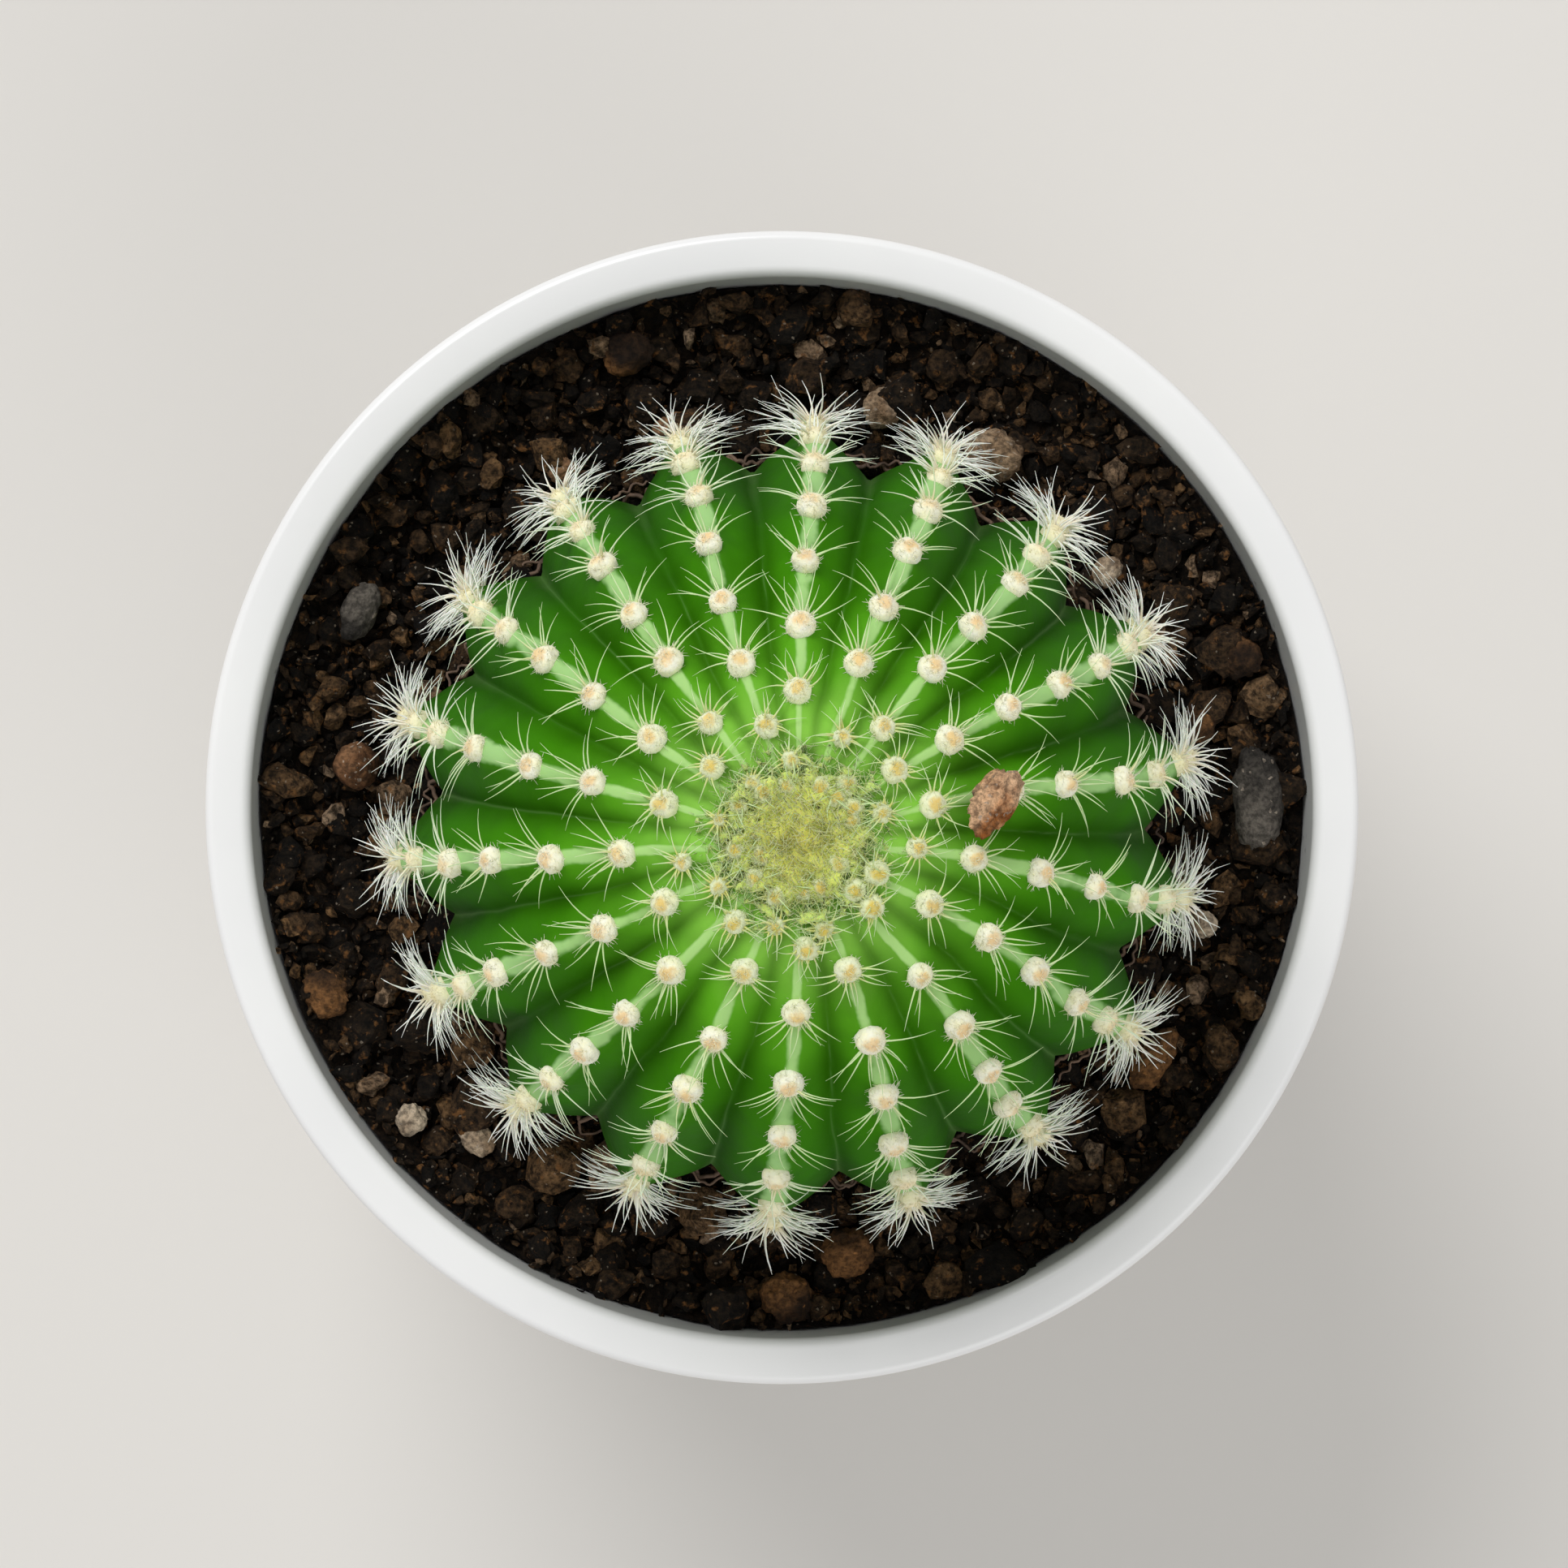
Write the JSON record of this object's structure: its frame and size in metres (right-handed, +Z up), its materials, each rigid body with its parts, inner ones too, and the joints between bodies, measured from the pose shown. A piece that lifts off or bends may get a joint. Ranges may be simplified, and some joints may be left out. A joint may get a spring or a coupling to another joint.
{
  "type": "potted round cactus",
  "caption": "Round ribbed ball cactus with woolly areoles and short pale spines, growing in dark soil in a smooth white ceramic pot.",
  "frame": {"origin": "centre of the pot's foot, at the level of the surface it stands on", "axes": "+Z up along the pot's axis; +X runs through the soil's large bark chip; +Y is a quarter turn anticlockwise from it, seen from above"},
  "size_m": [0.1, 0.1, 0.1248],
  "materials": {
    "glazed_pot": "smooth white satin glaze",
    "soil": "loose dark potting soil, dry and crumbly",
    "cactus_skin": "waxy green plant skin, paler on the rib crests",
    "crown_felt": "dense pale yellow-green felt",
    "spines_and_wool": "cream wool cushions with glassy white spines",
    "dark_grit": "dark weathered bark, matt",
    "clay_grit": "rough tan fired clay",
    "pumice": "rough pale pumice",
    "brown_grit": "crumbly brown bark and soil"
  },
  "bodies": {
    "root": {"pot": "glazed_pot", "potting_soil": "soil", "cactus_stem": "cactus_skin", "crown_felt": "crown_felt", "spine_row_01": "spines_and_wool", "spine_row_02": "spines_and_wool", "spine_row_03": "spines_and_wool", "spine_row_04": "spines_and_wool", "spine_row_05": "spines_and_wool", "spine_row_06": "spines_and_wool", "spine_row_07": "spines_and_wool", "spine_row_08": "spines_and_wool", "spine_row_09": "spines_and_wool", "spine_row_10": "spines_and_wool", "spine_row_11": "spines_and_wool", "spine_row_12": "spines_and_wool", "spine_row_13": "spines_and_wool", "spine_row_14": "spines_and_wool", "spine_row_15": "spines_and_wool", "spine_row_16": "spines_and_wool", "spine_row_17": "spines_and_wool", "spine_row_18": "spines_and_wool", "large_bark_chip": "dark_grit", "dark_oval_pebble": "dark_grit", "south_rim_clod": "dark_grit", "orange_clay_crumb": "clay_grit", "round_clay_ball": "clay_grit", "small_clay_grain": "clay_grit", "small_tan_stone": "pumice", "large_pumice_stone": "pumice", "small_pumice_stone": "pumice", "pale_pink_stone": "pumice", "grey_tan_stone": "pumice", "small_white_stone": "pumice", "brown_bark_piece": "brown_grit", "east_rim_clod": "brown_grit", "long_brown_grain": "brown_grit", "west_rim_clod": "brown_grit", "round_soil_clod": "brown_grit", "long_brown_chip": "brown_grit", "fallen_crumb": "brown_grit"}
  },
  "joints": []
}
